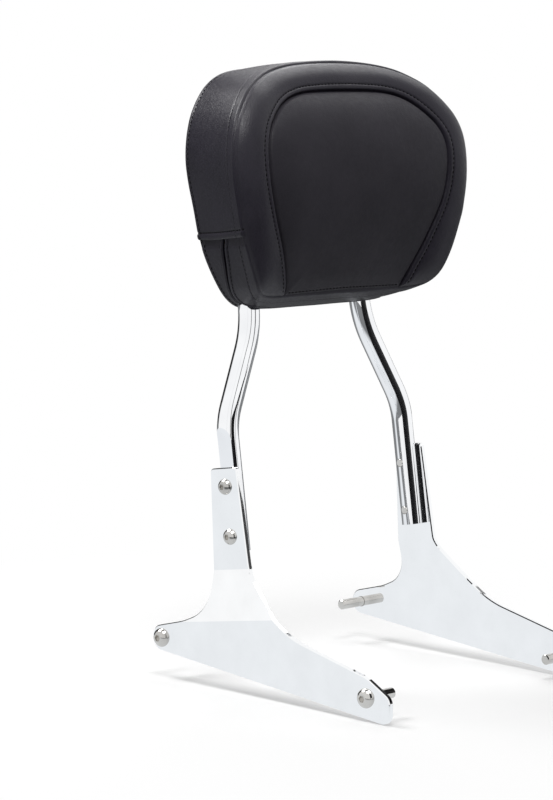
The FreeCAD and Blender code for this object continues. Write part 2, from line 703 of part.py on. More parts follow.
def make_pad():
    rear = size("pad_rear")
    skin = size("skin")
    gap = size("sewn_gap")
    board_rear = size("bar_radius") + size("bracket_thickness")
    board_front = board_rear + size("board_thickness")

    front = ahead_of_seam(0)
    band = pad_body(0).cut(pad_body(skin)).cut(front)
    lower = band.common(below_hem(-size("hem_gap")))
    upper = band.cut(below_hem(0))
    plain_part("pad_side_band", upper)
    half_slot = size("slot_width") / 2
    front_band = lower.cut(behind_slot(half_slot)).cut(legs_with_gap(size("bar_gap")))
    flap = lower.common(behind_slot(-half_slot)).cut(legs_with_gap(size("bar_gap")))
    plain_part("pad_front_lower_band", front_band)
    plain_part("pad_rear_flap", flap)
    cover = Part.makeLoft([flat_ring(rear - skin, 0, 2 * skin), flat_ring(rear, 0, 0)], True, True)
    plain_part("pad_rear_cover", cover)

    shell = dome(0).common(front).cut(dome(skin))
    plain_part("pad_front_panel", shell.common(shield(gap)))
    plain_part("pad_border_panel", shell.cut(shield(0)))

    edge = skin + size("board_inset")
    board = Part.makeLoft([flat_ring(board_rear, seam_share(board_rear), edge),
                           flat_ring(board_front, seam_share(board_front), edge)], True, True)
    stuffed = skin + 2 * gap
    foam = Part.makeLoft([flat_ring(board_front, seam_share(board_front), stuffed)]
                         + dome_rings(stuffed), True, True).common(pad_body(stuffed))
    barrel = size("pad_screw_radius") + size("tee_wall")
    for across, height, place in pad_screw_places():
        board = board.cut(disc(board_rear, across, height, barrel + gap / 2, size("board_thickness")))
        foam = foam.cut(disc(board_front, across, height, size("tee_radius") + gap,
                             size("tee_flange") + gap))
    plain_part("pad_base_board", board)
    plain_part("pad_foam", foam)

    inset = size("welt_inset")
    outer = pad_body(-gap - size("welt_height"))
    inner = pad_body(-gap)
    welt = outer.common(ahead_of_seam(-inset - size("front_welt_width")))
    plain_part("pad_front_welt", welt.cut(inner).cut(ahead_of_seam(-inset)))
    reach = 2 * size("pad_half_width")
    slab = Part.makeBox(size("rear_piping_width"), 2 * reach, 2 * reach,
                        Vector(rear + inset, -reach, -reach / 2))
    plain_part("pad_rear_piping", outer.cut(inner).common(slab))

    for across, height, place in pad_screw_places():
        seat = size("bar_radius")
        washer = disc(seat - size("washer_thickness"), across, height, size("washer_radius"),
                      size("washer_thickness"))
        hole = size("pad_screw_radius") + size("screw_hole_gap")
        washer = washer.cut(disc(seat - size("washer_thickness"), across, height, hole,
                                 size("washer_thickness")))
        plain_part(place + "_washer", washer)
        tee = disc(board_front, across, height, size("tee_radius"), size("tee_flange"))
        tee = tee.fuse(disc(board_rear, across, height, barrel, size("board_thickness")))
        tee = tee.cut(disc(board_rear, across, height, size("pad_thread_radius") + size("thread_gap"),
                           size("board_thickness") + size("tee_flange")))
        plain_part(place + "_tee_nut", tee.removeSplitter())
        plain = size("washer_thickness") + size("bracket_thickness")
        length = plain + size("board_thickness")
        x, z = from_hoop(seat - size("washer_thickness"), height)
        rearward = Vector(-math.cos(LEAN), 0, -math.sin(LEAN))
        make_screw(place + "_pad_screw", "pad", plain, length, Vector(x, across, z), rearward)


make_hoop()
make_sideplate("right_sideplate", -1)
make_sideplate("left_sideplate", 1)

THICKNESS = size("plate_thickness")
ARM_FACE = size("foot_half_spacing") + size("flat_offset") + THICKNESS
LOWER_FACE = ARM_FACE + size("joggle")
for SIDE, HAND in ((-1, "right"), (1, "left")):
    OUTWARD = Vector(0, SIDE, 0)
    for LEVEL in ("upper", "lower"):
        FOOT_X, FOOT_Z = from_hoop(0, size(LEVEL + "_screw_height"))
        make_screw("%s_%s_foot_screw" % (HAND, LEVEL), "foot", THICKNESS, size("foot_screw_length"),
                   Vector(FOOT_X, SIDE * ARM_FACE, FOOT_Z), OUTWARD)
    make_screw(HAND + "_rear_fender_screw", "fender", THICKNESS, size("fender_screw_length"),
               Vector(0, SIDE * LOWER_FACE, 0), OUTWARD)
    make_screw(HAND + "_front_fender_screw", "fender", THICKNESS, size("fender_screw_length"),
               Vector(size("front_screw_x"), SIDE * LOWER_FACE, size("front_screw_z")), OUTWARD)

make_brackets()
make_pad()
doc.recompute()

for item in doc.Objects:
    if "Invalid" in item.State or "Error" in item.State:
        raise RuntimeError("failed object " + item.Name)
for item in MADE:
    if item.Shape.isNull() or not item.Shape.isValid():
        raise RuntimeError("bad shape " + item.Label)

os.makedirs("parts", exist_ok=True)
for item in MADE:
    item.Shape.exportStep(os.path.join("parts", item.Label + ".step"))
    print("%-26s %2d solid %10.1f mm3" % (item.Label, len(item.Shape.Solids), item.Shape.Volume))
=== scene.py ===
import math
import bpy
import numpy as np
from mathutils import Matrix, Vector


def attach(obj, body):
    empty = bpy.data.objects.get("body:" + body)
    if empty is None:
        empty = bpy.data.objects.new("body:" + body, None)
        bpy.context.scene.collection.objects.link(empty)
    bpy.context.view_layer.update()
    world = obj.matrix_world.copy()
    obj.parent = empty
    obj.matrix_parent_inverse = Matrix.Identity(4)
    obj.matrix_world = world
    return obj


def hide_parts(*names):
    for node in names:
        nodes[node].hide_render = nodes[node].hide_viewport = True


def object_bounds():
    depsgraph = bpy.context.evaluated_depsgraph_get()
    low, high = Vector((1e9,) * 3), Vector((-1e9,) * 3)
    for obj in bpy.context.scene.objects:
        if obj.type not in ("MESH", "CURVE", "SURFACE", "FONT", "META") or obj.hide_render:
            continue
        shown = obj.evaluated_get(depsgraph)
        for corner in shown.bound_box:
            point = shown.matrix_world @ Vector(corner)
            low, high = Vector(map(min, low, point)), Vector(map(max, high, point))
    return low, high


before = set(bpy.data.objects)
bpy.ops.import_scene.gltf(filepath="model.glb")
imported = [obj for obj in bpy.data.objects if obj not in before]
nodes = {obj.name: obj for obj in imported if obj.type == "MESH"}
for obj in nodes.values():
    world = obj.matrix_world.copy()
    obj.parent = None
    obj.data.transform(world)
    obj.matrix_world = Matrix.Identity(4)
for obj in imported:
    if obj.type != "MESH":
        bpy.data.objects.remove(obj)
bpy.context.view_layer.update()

# The hoop. One round steel bar, bent hot into an arch with splayed legs, each foot milled flat and tapped,
# then polished and chromed all over. Every other piece is bolted, welded or sewn round it.
MIDDLE_OF_NOISE = (0.3, 0.7)
BAR_TONES = (0.88, 0.885, 0.9), (0.95, 0.955, 0.965)


def new_finish(name, metallic, specular, rough=0.5):
    """A new material, with what is even all over the piece set on its shader."""
    finish = bpy.data.materials.new(name)
    finish.use_nodes = True
    shader = finish.node_tree.nodes["Principled BSDF"]
    shader.inputs["Metallic"].default_value = metallic
    shader.inputs["Specular IOR Level"].default_value = specular
    shader.inputs["Roughness"].default_value = rough
    return finish


def texture(finish, kind, scale):
    """A texture laid out in the object's own metres."""
    tree = finish.node_tree
    place = tree.nodes.new("ShaderNodeTexCoord")
    pattern = tree.nodes.new("ShaderNodeTex" + kind)
    pattern.inputs["Scale"].default_value = scale
    tree.links.new(place.outputs["Object"], pattern.inputs["Vector"])
    return pattern


def cloud(finish, scale, detail=4.0):
    """The level of a smooth noise, finer as the scale grows."""
    pattern = texture(finish, "Noise", scale)
    pattern.inputs["Detail"].default_value = detail
    return pattern.outputs["Fac"]


def spread(tree, source, low, high, start=MIDDLE_OF_NOISE[0], end=MIDDLE_OF_NOISE[1]):
    """A source's range from start to end, opened out to run from low to high."""
    ramp = tree.nodes.new("ShaderNodeMapRange")
    for key, value in zip(("From Min", "From Max", "To Min", "To Max"), (start, end, low, high)):
        ramp.inputs[key].default_value = value
    tree.links.new(source, ramp.inputs["Value"])
    return ramp.outputs["Result"]


def tint(finish, source, tones):
    """Colour that runs from the dark tone to the light one with a source."""
    tree = finish.node_tree
    ramp = tree.nodes.new("ShaderNodeValToRGB")
    for stop, position, tone in zip(ramp.color_ramp.elements, MIDDLE_OF_NOISE, tones):
        stop.position = position
        stop.color = (*tone, 1)
    tree.links.new(source, ramp.inputs["Fac"])
    tree.links.new(ramp.outputs["Color"], tree.nodes["Principled BSDF"].inputs["Base Color"])


def gloss(finish, source, smooth, rough):
    """Roughness that runs from smooth to rough with a source."""
    tree = finish.node_tree
    tree.links.new(spread(tree, source, smooth, rough), tree.nodes["Principled BSDF"].inputs["Roughness"])


def relief(finish, *layers):
    """Fine relief laid in layers, each a height, a strength and a depth in metres."""
    tree = finish.node_tree
    normal = None
    for height, strength, depth in layers:
        bump = tree.nodes.new("ShaderNodeBump")
        bump.inputs["Strength"].default_value = strength
        bump.inputs["Distance"].default_value = depth
        tree.links.new(height, bump.inputs["Height"])
        if normal is not None:
            tree.links.new(normal, bump.inputs["Normal"])
        normal = bump.outputs["Normal"]
    tree.links.new(normal, tree.nodes["Principled BSDF"].inputs["Normal"])


def polished_chrome(name, tones, smooth, hazy):
    """Chrome plate: a mirror with faint polishing haze and the slow waves of the steel under it."""
    chrome = new_finish(name, 1.0, 0.5)
    tint(chrome, cloud(chrome, 38.0), tones)
    gloss(chrome, cloud(chrome, 420.0, 6.0), smooth, hazy)
    relief(chrome, (cloud(chrome, 22.0, 1.0), 0.08, 0.0005))
    return chrome


def dress(node, finish):
    """Gives a node of the frame its finish."""
    slots = nodes[node].material_slots
    for slot in slots:
        slot.material = finish
    if not slots:
        nodes[node].data.materials.append(finish)


dress("upright_hoop", polished_chrome("bar_chrome", BAR_TONES, 0.015, 0.04))

# The sideplates. Laser-cut steel plate, joggled in a press, its rim ground round, then polished and chromed.
# Each is screwed to a foot of the hoop by its arm, and carries two larger screws in its lower part.
PLATE_TONES = (0.92, 0.925, 0.93), (0.965, 0.97, 0.975)
plate_chrome = polished_chrome("plate_chrome", PLATE_TONES, 0.02, 0.05)
for hand in ("right", "left"):
    dress(hand + "_sideplate", plate_chrome)

# The screws. Button heads with a hexagon socket, turned from steel and chromed less brightly than the plates.
# Two on each side hold a foot to its plate, and two more stand in the plate's rear finger and its nose.
SCREW_TONES = (0.48, 0.465, 0.44), (0.7, 0.685, 0.66)
screw_chrome = polished_chrome("screw_chrome", SCREW_TONES, 0.04, 0.12)
for hand in ("right", "left"):
    for place in ("upper_foot", "lower_foot", "rear_fender", "front_fender"):
        dress("%s_%s_screw" % (hand, place), screw_chrome)

# The flat bars in the pad. Two lengths of steel bar stock with two holes each, welded across the front of the
# hoop's arch and painted satin black. The pad's board is bolted to them.
PAINT_TONES = (0.02, 0.02, 0.022), (0.035, 0.035, 0.038)
bar_paint = new_finish("bracket_paint", 0.0, 0.5)
mottle = cloud(bar_paint, 90.0)
tint(bar_paint, mottle, PAINT_TONES)
gloss(bar_paint, mottle, 0.32, 0.45)
relief(bar_paint, (cloud(bar_paint, 900.0, 3.0), 0.25, 0.0002))
for level in ("upper", "lower"):
    dress(level + "_pad_bracket", bar_paint)

# The pad's fixings. Four zinc plated screws with washers, put in from behind through the flat bars, and four
# tee nuts pressed into the front of the board.
ZINC_TONES = (0.5, 0.51, 0.53), (0.68, 0.68, 0.66)
zinc_plate = new_finish("zinc_plate", 1.0, 0.5)
spangle = cloud(zinc_plate, 260.0, 5.0)
tint(zinc_plate, spangle, ZINC_TONES)
gloss(zinc_plate, spangle, 0.28, 0.42)
relief(zinc_plate, (cloud(zinc_plate, 1500.0, 2.0), 0.2, 0.0001))
for hand in ("right", "left"):
    for level in ("upper", "lower"):
        for fixing in ("pad_screw", "washer", "tee_nut"):
            dress("%s_%s_%s" % (hand, level, fixing), zinc_plate)

# The base board. Plywood, sawn to the pad's outline and left bare, its grain running in wavy bands.
# It stands ahead of the flat bars, and the foam is glued to its front.
WOOD_TONES = (0.30, 0.20, 0.11), (0.46, 0.34, 0.21)
plywood = new_finish("plywood", 0.0, 0.3, 0.7)
grain = texture(plywood, "Wave", 55.0)
grain.inputs["Distortion"].default_value = 6.0
tint(plywood, grain.outputs["Fac"], WOOD_TONES)
relief(plywood, (grain.outputs["Fac"], 0.2, 0.0003))
dress("pad_base_board", plywood)

# The centre panel. One cut of pebbled vinyl in the shape of an upturned shield, sewn all round to the border.
# It is drawn over the crowned foam, which its seam pulls in, and its foot runs out to the pad's front seam.
LEAN = math.radians(8.25)
HOOP_ZERO = np.array([0.0581, 0.0, 0.2296])
AHEAD = np.array([math.cos(LEAN), 0.0, math.sin(LEAN)])
ACROSS = np.array([0.0, 1.0, 0.0])
ALONG = np.array([-math.sin(LEAN), 0.0, math.cos(LEAN)])
FACE_CENTRE = 165.0
EVEN_POINTS = 800
FACE_ROWS = 460
PANEL_COLUMNS = 70
SHIELD_POINTS = 700
NEAR_CENTRE = 0.0005
PANEL_TONES = (0.0145, 0.0133, 0.0175), (0.019, 0.0175, 0.0225)
PANEL_SKIN = 0.0014
SHARP_FOLD = 50.0
PILLOW = 2.6
PILLOW_EVENNESS = 14
MEND_STEEPNESS = 9
SIDE_FALL = 0.00038
RIM_MARGIN = 0.3
SEAM_DEPTH = 2.2
SEAM_WIDTH = 1.3
FOOT_STITCH = 3.0
FOOT_STITCH_DEPTH = 0.7
FOOT_STITCH_WIDTH = 0.7
FOOT_HEIGHT = 100.0
# Both seams' rows are across, along and ahead of the hoop in millimetres, from the middle of the top round to
# the bottom. The centre line's rows are along and ahead, from the bottom up.
FRONT_SEAM = [(0, 267.6, 60.6), (20, 267.3, 60.6), (40, 266.2, 61), (60, 263.6, 62.2), (80, 258.9, 64.4),
              (96, 252.4, 67.6), (107, 246.2, 70.8), (115, 240, 73.2), (125, 230, 75.8),
              (133.1, 220, 77.7), (138.6, 210, 78.9), (142, 200, 79.5), (143.8, 190, 79.5),
              (144.4, 180, 79.1), (144.2, 170, 78.4), (143.2, 160, 77.6), (141.5, 150, 76.5),
              (139.5, 140, 75.1), (137.4, 130, 73.6), (134.2, 120, 71.6), (130.3, 109.5, 69.8),
              (125.9, 99, 67.8), (120.9, 89, 65.4), (115, 79, 62), (109.2, 73.2, 58), (102.5, 69.8, 54),
              (94, 68.4, 51), (82, 67.8, 49), (60, 67.8, 48), (30, 68, 48), (0, 68.2, 48)]
SHIELD = [(0, 240.9, 73), (20, 240.8, 73), (40, 240.1, 73.3), (50, 239.2, 73.8), (60, 237.3, 74.8),
          (70, 234.2, 76.2), (80, 229.2, 78), (90, 222, 80.6), (97, 215.5, 82.8), (102.5, 209.5, 84.6),
          (107.8, 200, 86.8), (110.5, 190, 87.7), (111.2, 180, 87.5), (110.6, 170, 86.5),
          (109.1, 160, 85), (106.9, 150, 83.3), (103.6, 140, 80.8), (99.4, 130, 77.6), (94.5, 120, 74.1),
          (89.7, 110, 70.7), (85, 100, 66.6), (80.2, 90, 61.8), (76.2, 80.5, 56.4), (74, 74.5, 52),
          (72.3, 69, 48.4), (70, 60, 43)]
CENTRE_LINE = [(55, 44), (68.5, 48.5), (80, 57.5), (100, 69), (120, 78.5), (140, 86), (160, 91), (180, 92.8),
               (200, 91.5), (215, 88), (228, 82.5), (240.9, 74.5), (255, 64)]


def on_hoop(ahead, across, along):
    """Places in metres from millimetres ahead of the leaning hoop, across it and along it."""
    ahead, across, along = (np.asarray(value, float)[..., None] * 0.001 for value in (ahead, across, along))
    return HOOP_ZERO + ahead * AHEAD + across * ACROSS + along * ALONG


def along_line(points, count):
    """Points spaced evenly along a line of points."""
    steps = np.linalg.norm(np.diff(points, axis=0), axis=1)
    run = np.concatenate([[0], np.cumsum(steps)])
    marks = np.linspace(0, run[-1], count)
    return np.stack([np.interp(marks, run, column) for column in points.T], axis=1)


def smooth_line(points, count, between=24):
    """An even line through given points, rounded between them and level where it meets the middle."""
    points = np.array(points, float)
    before, after = points[1].copy(), points[-2].copy()
    before[0], after[0] = -before[0], -after[0]
    ends = np.concatenate([[before], points, [after if points[-1][0] == 0 else 2 * points[-1] - points[-2]]])
    line = []
    for i in range(1, len(ends) - 2):
        a, b, c, d = ends[i - 1:i + 3]
        for t in np.linspace(0, 1, between, endpoint=False):
            line.append(0.5 * (2 * b + (c - a) * t + (2 * a - 5 * b + 4 * c - d) * t ** 2
                               + (3 * b - a - 3 * c + d) * t ** 3))
    line.append(ends[-2])
    return along_line(np.array(line), count)


def softened(line, passes=30):
    """A line with each point eased between its neighbours, its ends kept."""
    for _ in range(passes):
        line[1:-1] = 0.25 * line[:-2] + 0.5 * line[1:-1] + 0.25 * line[2:]
    return line


def mirrored(half):
    """The other side's half of a line, running back."""
    return half[::-1] * np.array([-1, 1, 1])


def whole(half):
    """The closed line round the pad of which one half is given."""
    return np.concatenate([half, mirrored(half)[1:-1]])


def averaged(values, ends, width=3):
    """Values averaged with their neighbours, with the ends wrapped round or held level."""
    return np.convolve(np.pad(values, width, mode=ends), np.ones(2 * width + 1) / (2 * width + 1), "valid")


def by_angle(line):
    """Angle, reach and depth of a line's points about the middle of the pad's face, by growing angle."""
    angle = np.arctan2(line[:, 1] - FACE_CENTRE, line[:, 0])
    order = np.argsort(angle)
    reach = np.hypot(line[:, 0], line[:, 1] - FACE_CENTRE)
    return angle[order], reach[order], line[order, 2]


def at_angle(angles, table):
    """The reach and the depth of such a table at other angles."""
    return [np.interp(angles, table[0], column, period=2 * math.pi) for column in table[1:]]


def on_face(angles, reach):
    """Across and along of places at a reach from the middle of the pad's face."""
    return reach * np.cos(angles), FACE_CENTRE + reach * np.sin(angles)


def face_grid(angles, shares, inner, outer, depth_of):
    """Surface points over the pad's face between two reaches, for each angle and share of the way out."""
    grid = np.zeros((len(angles), len(shares), 3))
    for column, share in enumerate(shares):
        reach = inner + (outer - inner) * share
        across, along = on_face(angles, reach)
        grid[:, column] = on_hoop(depth_of(across, along, reach), across, along)
    return grid


def foam_form(across, along):
    """The smooth crown of the foam: a curve through the centre line's points that falls away to the sides."""
    heights, depths = np.array(CENTRE_LINE, float).T
    slopes = np.gradient(depths, heights)
    place = np.clip(np.searchsorted(heights, along) - 1, 0, len(heights) - 2)
    wide = heights[place + 1] - heights[place]
    t = np.clip((along - heights[place]) / wide, 0, 1)
    start, end = depths[place], depths[place + 1]
    middle = (start * (1 + 2 * t) * (1 - t) ** 2 + slopes[place] * wide * t * (1 - t) ** 2
              + end * t * t * (3 - 2 * t) + slopes[place + 1] * wide * t * t * (t - 1))
    return middle - SIDE_FALL * across ** 2


def dimple(distance, centre, depth, width):
    """A sewn-down line: a shallow furrow of the given depth and width about a centre."""
    return -depth * np.exp(-((distance - centre) / width) ** 2)


def waves(across, along, height, scale, seed):
    """The slow unevenness of stuffed foam, up to one and a half times the height either way."""
    return height * (np.sin(across / scale + seed) * np.sin(along / (scale * 0.8) + 1.7 * seed)
                     + 0.5 * np.sin(across / (scale * 0.43) + 2.1 * seed + along / (scale * 0.6)))


def surface_normals(points, ring):
    """Unit normals of a grid of points, whose rows may run round in a ring."""
    if ring:
        around = np.roll(points, -1, axis=0) - np.roll(points, 1, axis=0)
    else:
        around = np.gradient(points, axis=0)
    normal = np.cross(around, np.gradient(points, axis=1))
    return normal / np.maximum(np.linalg.norm(normal, axis=2, keepdims=True), 1e-12)


def new_piece(name, vertices, faces, sharp_over, finish):
    """A smooth piece of the pad, with sharp edges where its faces meet at more than some degrees."""
    mesh = bpy.data.meshes.new(name)
    mesh.from_pydata(np.asarray(vertices).tolist(), [], faces)
    mesh.validate()
    mesh.shade_smooth()
    mesh.set_sharp_from_angle(angle=math.radians(sharp_over))
    mesh.materials.append(finish)
    piece = bpy.data.objects.new(name, mesh)
    bpy.context.scene.collection.objects.link(piece)
    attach(piece, "root")
    return piece


def sewn_skin(name, points, outward, thickness, ring, finish):
    """A closed skin under a grid of surface points, or with no thickness a block capped at both ends."""
    normal = surface_normals(points, ring)
    inside_out = np.sum(normal * outward) < 0
    if inside_out:
        normal = -normal
    rows, columns = points.shape[:2]
    last = columns - 1
    under = rows * columns
    faces = []
    for i in range(rows if ring else rows - 1):
        row, following = i * columns, (i + 1) % rows * columns
        for a, b in zip(range(row, row + last), range(following, following + last)):
            faces.append((a, b, b + 1, a + 1))
            if thickness:
                faces.append((under + a + 1, under + b + 1, under + b, under + a))
        if thickness:
            faces.append((row, under + row, under + following, following))
            a, b = row + last, following + last
            faces.append((b, under + b, under + a, a))
    if not ring:
        for a in range(last):
            b = under - columns + a
            faces.append((a + 1, under + a + 1, under + a, a))
            faces.append((b, under + b, under + b + 1, b + 1))
    vertices = points.reshape(-1, 3)
    if thickness:
        vertices = np.concatenate([vertices, (points - normal * thickness).reshape(-1, 3)])
    else:
        vertices = np.concatenate([vertices, points[:, [0, last]].mean(axis=0)])
        for a in range(0, under, columns):
            b = (a + columns) % under
            faces.append((b, a, under))
            faces.append((a + last, b + last, under + 1))
    if inside_out:
        faces = [face[::-1] for face in faces]
    return new_piece(name, vertices, faces, SHARP_FOLD, finish), normal


def vinyl(name, tones, smooth, rough, pebble, sheen):
    """Padded vinyl: a fine pebbled grain over slow undulations, with a satin sheen."""
    finish = new_finish(name, 0.0, sheen)
    tint(finish, cloud(finish, 26.0, 5.0), tones)
    crease = cloud(finish, 240.0, 6.0)
    gloss(finish, crease, smooth, rough)
    pebbles = texture(finish, "Voronoi", pebble).outputs["Distance"]
    relief(finish, (pebbles, 0.55, 0.00022), (crease, 0.35, 0.0004))
    return finish


face_angles = np.linspace(0, 2 * math.pi, FACE_ROWS, endpoint=False)
front_half = softened(smooth_line(FRONT_SEAM, EVEN_POINTS + 1))
front_line = whole(front_half)
rim = by_angle(front_line)
rim_reach, rim_depth = at_angle(face_angles, rim)
shield_half = softened(smooth_line(SHIELD, SHIELD_POINTS))
shield = by_angle(np.concatenate([shield_half, mirrored(shield_half)[:-1]]))
shield_reach, shield_depth = at_angle(face_angles, shield)
past_rim = shield_reach >= rim_reach - RIM_MARGIN
panel_reach = np.minimum(shield_reach, rim_reach - RIM_MARGIN)
panel_edge = averaged(np.where(past_rim, rim_depth, shield_depth), "wrap")
edge_mend = panel_edge - foam_form(*on_face(face_angles, panel_reach))


def panel_depth(across, along, reach):
    """How far ahead the panel stands: the foam's crown, mended to meet the seam, and puffed between seams."""
    share = reach / panel_reach
    puffed = (foam_form(across, along) + edge_mend * share ** MEND_STEEPNESS
              + PILLOW * (1 - share ** PILLOW_EVENNESS))
    foot = dimple(rim_reach - reach, FOOT_STITCH, FOOT_STITCH_DEPTH, FOOT_STITCH_WIDTH)
    foot = foot * (along < FOOT_HEIGHT)
    return (puffed + dimple(panel_reach - reach, 0, SEAM_DEPTH, SEAM_WIDTH) + foot
            + waves(across, along, 0.25, 31, 0.4))


panel_shares = np.sin(np.linspace(NEAR_CENTRE, math.pi / 2, PANEL_COLUMNS))
panel_grid = face_grid(face_angles, panel_shares, 0, panel_reach, panel_depth)
panel_vinyl = vinyl("panel_vinyl", PANEL_TONES, 0.5, 0.6, 1000.0, 0.13)
panel, panel_normal = sewn_skin("centre_panel", panel_grid, AHEAD, PANEL_SKIN, True, panel_vinyl)
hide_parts("pad_front_panel")

# The border. A strip of smoother vinyl, sewn to the panel's edge and rolled over the foam out to the front
# seam. It is open at the bottom, where the panel's foot comes through, and topstitched beside the panel.
BORDER_ROWS = 520
BORDER_COLUMNS = 60
BORDER_TONES = (0.0105, 0.0092, 0.0145), (0.015, 0.0132, 0.02)
BORDER_SKIN = 0.0014
STRAIGHT_DOWN = 1.5 * math.pi
PANEL_STITCH = 6.2
ROLL_WIDTH = 14
ROLL_BULGE = [(60, 3.0), (80, 4.5), (120, 6.0), (190, 5.4), (240, 6.0), (268, 6.0)]
RIM_DEPTH = 2.6
RIM_WIDTH = 1.1
STITCH_DEPTH = 0.5
STITCH_WIDTH = 0.9


def raised(distance, start, end, height, soft=0.7):
    """A strip lifted between two places, where the seam allowance lies under the vinyl."""
    rise = 1 / (1 + np.exp(-(distance - start) / soft * 2))
    fall = 1 / (1 + np.exp((distance - end) / soft * 2))
    return height * rise * fall


bordered = face_angles[~past_rim]
right_end = bordered[bordered < STRAIGHT_DOWN].max()
left_end = bordered[bordered > STRAIGHT_DOWN].min() - 2 * math.pi
border_angles = left_end + (right_end - left_end) * np.linspace(0, 1, BORDER_ROWS)
border_inner, inner_depth = at_angle(border_angles, shield)
border_outer, outer_depth = at_angle(border_angles, rim)
border_width = border_outer - border_inner


def border_depth(across, along, reach):
    """How far ahead the border stands: a roll between its seams, with a topstitched strip by the inner."""
    share = (border_outer - reach) / border_width
    from_seam = reach - border_inner
    bulge = np.interp(along, *np.array(ROLL_BULGE).T) * np.clip(border_width / ROLL_WIDTH, 0, 1)
    topstitch = (dimple(from_seam, PANEL_STITCH, STITCH_DEPTH, STITCH_WIDTH)
                 + raised(from_seam, 1.2, PANEL_STITCH - 1, 0.6))
    return (outer_depth + (inner_depth - outer_depth) * share + bulge * np.sin(math.pi * share ** 0.8)
            + dimple(from_seam, 0, SEAM_DEPTH, SEAM_WIDTH) + topstitch
            + dimple(border_outer - reach, 0, RIM_DEPTH, RIM_WIDTH) + waves(across, along, 0.3, 24, 1.3))


border_shares = 0.5 - 0.5 * np.cos(np.linspace(0, math.pi, BORDER_COLUMNS))
border_grid = face_grid(border_angles, border_shares, border_inner, border_outer, border_depth)
border_vinyl = vinyl("border_vinyl", BORDER_TONES, 0.34, 0.44, 1150.0, 0.24)
border, border_normal = sewn_skin("border_panel", border_grid, AHEAD, BORDER_SKIN, False, border_vinyl)
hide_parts("pad_border_panel")

# The stitching of the front. Bonded black thread in a lock stitch, about four millimetres a stitch. One row
# runs round the border beside the panel's seam, and a short one across the panel's foot.
THREAD_RADIUS = 0.00055
THREAD_SIDES = 6
THREAD_TONES = (0.001, 0.001, 0.001), (0.004, 0.004, 0.004)
STITCH_PITCH = 0.0041
STITCH_LENGTH = 0.0027
STITCH_PROFILE = ((-0.5, 0.35, -0.00025), (-0.3, 1.0, 0.0), (0.3, 1.0, 0.0), (0.5, 0.35, -0.00025))


def line_at(grid, normal, offsets, place):
    """The line, and the normals on it, where a grid's running distance reaches a place."""
    def there(values):
        return np.array([[np.interp(place, offset, column) for column in row.T]
                         for offset, row in zip(offsets, values)])
    return there(grid), there(normal)


def stitch_row(name, line, normal):
    """A row of separate stitches, sunk half into the vinyl along a line, each one six-sided and tapered."""
    steps = np.linalg.norm(np.diff(line, axis=0), axis=1)
    run = np.concatenate([[0], np.cumsum(steps)])
    count = int(run[-1] / STITCH_PITCH)
    vertices = []
    faces = []

    def at(mark, values):
        return np.array([np.interp(mark, run, column) for column in values.T])

    for i in range(count):
        middle = (i + 0.5) * run[-1] / count
        point = at(middle, line)
        up = at(middle, normal)
        way = at(middle + 0.001, line) - at(middle - 0.001, line)
        way /= np.linalg.norm(way)
        side = np.cross(way, up)
        start = len(vertices)
        for place, share, sink in STITCH_PROFILE:
            for turn in np.arange(THREAD_SIDES) * 2 * math.pi / THREAD_SIDES:
                ring = (side * math.cos(turn) + up * math.sin(turn)) * THREAD_RADIUS * share
                vertices.append(point + way * place * STITCH_LENGTH + up * sink + ring)
        for first in range(start, len(vertices) - THREAD_SIDES, THREAD_SIDES):
            for j in range(THREAD_SIDES):
                a, b = first + j, first + (j + 1) % THREAD_SIDES
                faces.append((a, a + THREAD_SIDES, b + THREAD_SIDES, b))
        faces.append(tuple(range(start, start + THREAD_SIDES)))
        faces.append(tuple(range(len(vertices) - 1, len(vertices) - 1 - THREAD_SIDES, -1)))
    new_piece(name, vertices, faces, 180.0, black_thread)


black_thread = new_finish("black_thread", 0.0, 0.08, 0.9)
twist = cloud(black_thread, 2600.0, 2.0)
tint(black_thread, twist, THREAD_TONES)
relief(black_thread, (twist, 0.4, 0.0001))

wide_enough = border_width > PANEL_STITCH + 2
from_inner = border_width[:, None] * border_shares
panel_line, panel_up = line_at(border_grid, border_normal, from_inner, PANEL_STITCH)
stitch_row("panel_stitching", panel_line[wide_enough], panel_up[wide_enough])
before_rim = panel_reach[:, None] * panel_shares - rim_reach[:, None]
foot_line, foot_up = line_at(panel_grid[past_rim], panel_normal[past_rim], before_rim[past_rim], -FOOT_STITCH)
stitch_row("foot_stitching", foot_line, foot_up)

# The side band. A strip of vinyl round the top and sides, sewn to the border at the front seam and to the
# cover at the smaller rear seam, topstitched beside both, and hemmed where the lower pieces tuck under it.
REAR_SEAM = [(0, 272), (20, 271.8), (43, 270.6), (60, 267.6), (73.2, 262.4), (85.1, 254.5), (93.6, 245.5),
             (99, 238), (103.6, 230), (107.6, 220), (110.6, 210), (112.7, 200), (113.7, 190),
             (113.4, 180), (112.4, 170), (110.9, 160), (109.5, 150), (108.5, 140), (107.5, 130),
             (106, 120), (103.4, 110), (99.6, 100), (95, 90), (89.2, 79.5), (83.5, 72), (76, 66),
             (66, 62.6), (50, 61.2), (25, 60.6), (0, 60.5)]
REAR_DEPTH = -14.0
BAND_ROWS = 360
BAND_COLUMNS = 96
# The band's vinyl is the border's vinyl with its tone made about a tenth darker. This is painted shade on the
# side and rear pieces.
BAND_TONES_WITH_PAINTED_SHADE = (0.0095, 0.0083, 0.0135), (0.0135, 0.0118, 0.0185)
BAND_SKIN = 0.0016
BAND_PUFF = 2.0
BAND_PROUD = 0.4
HEM_HEIGHTS = (124.0, -7.0, 2.5)
HEM_STITCH = 6.0
HEM_STITCH_DEPTH = 0.6
HEM_WIDTH = 0.8
HEM_EDGE = 1.2
HEM_ROWS = 39
FRONT_STITCH = 12.5
REAR_STITCH = 6.0
STRIP_START = 0.9
STRIP_MARGIN = 0.8
rear_half = softened(smooth_line([(x, z, REAR_DEPTH) for x, z in REAR_SEAM], EVEN_POINTS + 1))
rear_line = whole(rear_half)


